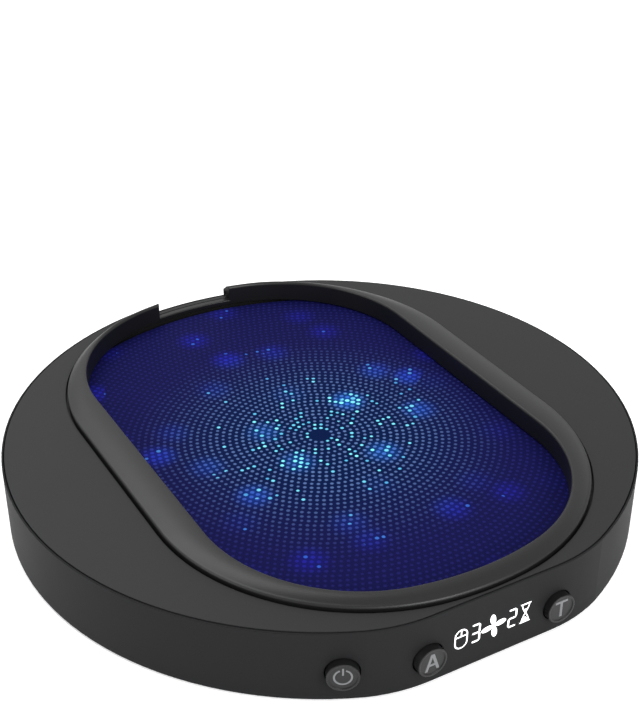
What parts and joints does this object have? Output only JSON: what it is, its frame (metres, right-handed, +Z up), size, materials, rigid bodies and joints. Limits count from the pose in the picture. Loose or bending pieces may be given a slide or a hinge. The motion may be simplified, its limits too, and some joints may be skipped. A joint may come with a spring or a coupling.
{
  "type": "mouse jiggler",
  "caption": "Low round desk gadget whose motor turns a printed disc under a mouse, with a raised oval rim, push buttons and a lit front panel.",
  "frame": {"origin": "on the turntable's axis, at the level of the desk under the rubber feet", "axes": "+Z up along the turntable's axis, -Y out of the flat front panel with the display, +Y towards the cable notch"},
  "size_m": [0.16, 0.1582, 0.021],
  "materials": {
    "base_plastic": "fine-textured black ABS",
    "case_plastic": "satin black ABS",
    "cover_plastic": "fine-sparked charcoal ABS",
    "rim_plastic": "fine-sparked charcoal ABS",
    "screw_steel": "zinc-plated steel",
    "dark_screw_steel": "black-oxide steel",
    "foot_rubber": "black silicone rubber",
    "table_plastic": "moulded dark blue ABS",
    "printed_film": "matt printed polyester film, deep blue with bright dots",
    "bush_brass": "turned brass",
    "gear_plastic": "natural acetal",
    "shaft_steel": "ground steel",
    "washer_plastic": "natural low-friction plastic",
    "clip_steel": "spring steel",
    "motor_steel": "zinc-plated sheet steel",
    "motor_lead_sheath": "red PVC sheath",
    "supply_lead_sheath": "dark grey PVC sheath",
    "key_plastic": "black ABS",
    "legend_ink": "grey inlaid legend",
    "switch_plastic": "black nylon",
    "board_laminate": "green solder mask on glass-fibre laminate",
    "chip_resin": "black moulding resin",
    "component_ceramic": "tan ceramic",
    "lit_inlay": "clear-white inlay lit from behind",
    "mask_plastic": "white polycarbonate",
    "lamp_resin": "yellow phosphor resin",
    "inlet_steel": "nickel-plated steel"
  },
  "bodies": {
    "case": {"base_cover": "base_plastic", "side_housing": "case_plastic", "top_cover": "cover_plastic", "rim_bezel": "rim_plastic", "rim_screws": "screw_steel", "case_screws": "dark_screw_steel", "rubber_feet": "foot_rubber", "spindle": "shaft_steel", "thrust_washer": "washer_plastic", "spindle_clip": "clip_steel", "glide_pads": "washer_plastic", "reduction_pin": "shaft_steel", "reduction_clip": "clip_steel", "motor_can": "motor_steel", "motor_plate": "motor_steel", "motor_screws": "screw_steel", "motor_leads": "motor_lead_sheath", "push_switches": "switch_plastic", "power_board": "board_laminate", "front_board": "board_laminate", "main_board": "board_laminate", "board_header": "switch_plastic", "board_screws": "screw_steel", "controller_chip": "chip_resin", "board_parts": "component_ceramic", "display_icons": "lit_inlay", "display_mask": "mask_plastic", "display_lamps": "lamp_resin", "inlet_shell": "inlet_steel", "inlet_tongue": "switch_plastic", "inlet_board": "board_laminate", "inlet_screws": "screw_steel", "supply_leads": "supply_lead_sheath"},
    "table": {"turntable": "table_plastic", "turntable_film": "printed_film", "hub_bush": "bush_brass", "drive_gear": "gear_plastic", "drive_gear_screws": "screw_steel"},
    "reduction": {"reduction_gear": "gear_plastic"},
    "motor_output": {"motor_shaft": "shaft_steel", "motor_pinion": "bush_brass"},
    "power_key": {"power_button": "key_plastic", "power_legend": "legend_ink", "power_plunger": "switch_plastic"},
    "mode_key": {"mode_button": "key_plastic", "mode_legend": "legend_ink", "mode_plunger": "switch_plastic"},
    "timer_key": {"timer_button": "key_plastic", "timer_legend": "legend_ink", "timer_plunger": "switch_plastic"}
  },
  "joints": [
    {"name": "table_spin", "type": "hinge", "parent": "case", "child": "table", "pos_m": [0, 0, 0.0125], "axis": [0, 0, 1], "continuous": true},
    {"name": "reduction_spin", "type": "hinge", "parent": "case", "child": "reduction", "pos_m": [-0.02598, 0.015, 0.007], "axis": [0, 0, 1], "continuous": true},
    {"name": "motor_spin", "type": "hinge", "parent": "case", "child": "motor_output", "pos_m": [-0.03598, 0.03232, 0.007], "axis": [0, 0, 1], "continuous": true},
    {"name": "power_press", "type": "slide", "parent": "case", "child": "power_key", "axis": [0.4446, 0.8957, 0], "range_m": [0, 0.0005], "stiffness_N_per_m": 2000, "springref_m": -0.0003},
    {"name": "mode_press", "type": "slide", "parent": "case", "child": "mode_key", "axis": [0, 1, 0], "range_m": [0, 0.0005], "stiffness_N_per_m": 2000, "springref_m": -0.0003},
    {"name": "timer_press", "type": "slide", "parent": "case", "child": "timer_key", "axis": [0, 1, 0], "range_m": [0, 0.0005], "stiffness_N_per_m": 2000, "springref_m": -0.0003}
  ],
  "couplings": [
    {"joint": "reduction_spin", "follows": "table_spin", "ratio": -3.2857},
    {"joint": "motor_spin", "follows": "table_spin", "ratio": 8.449}
  ]
}
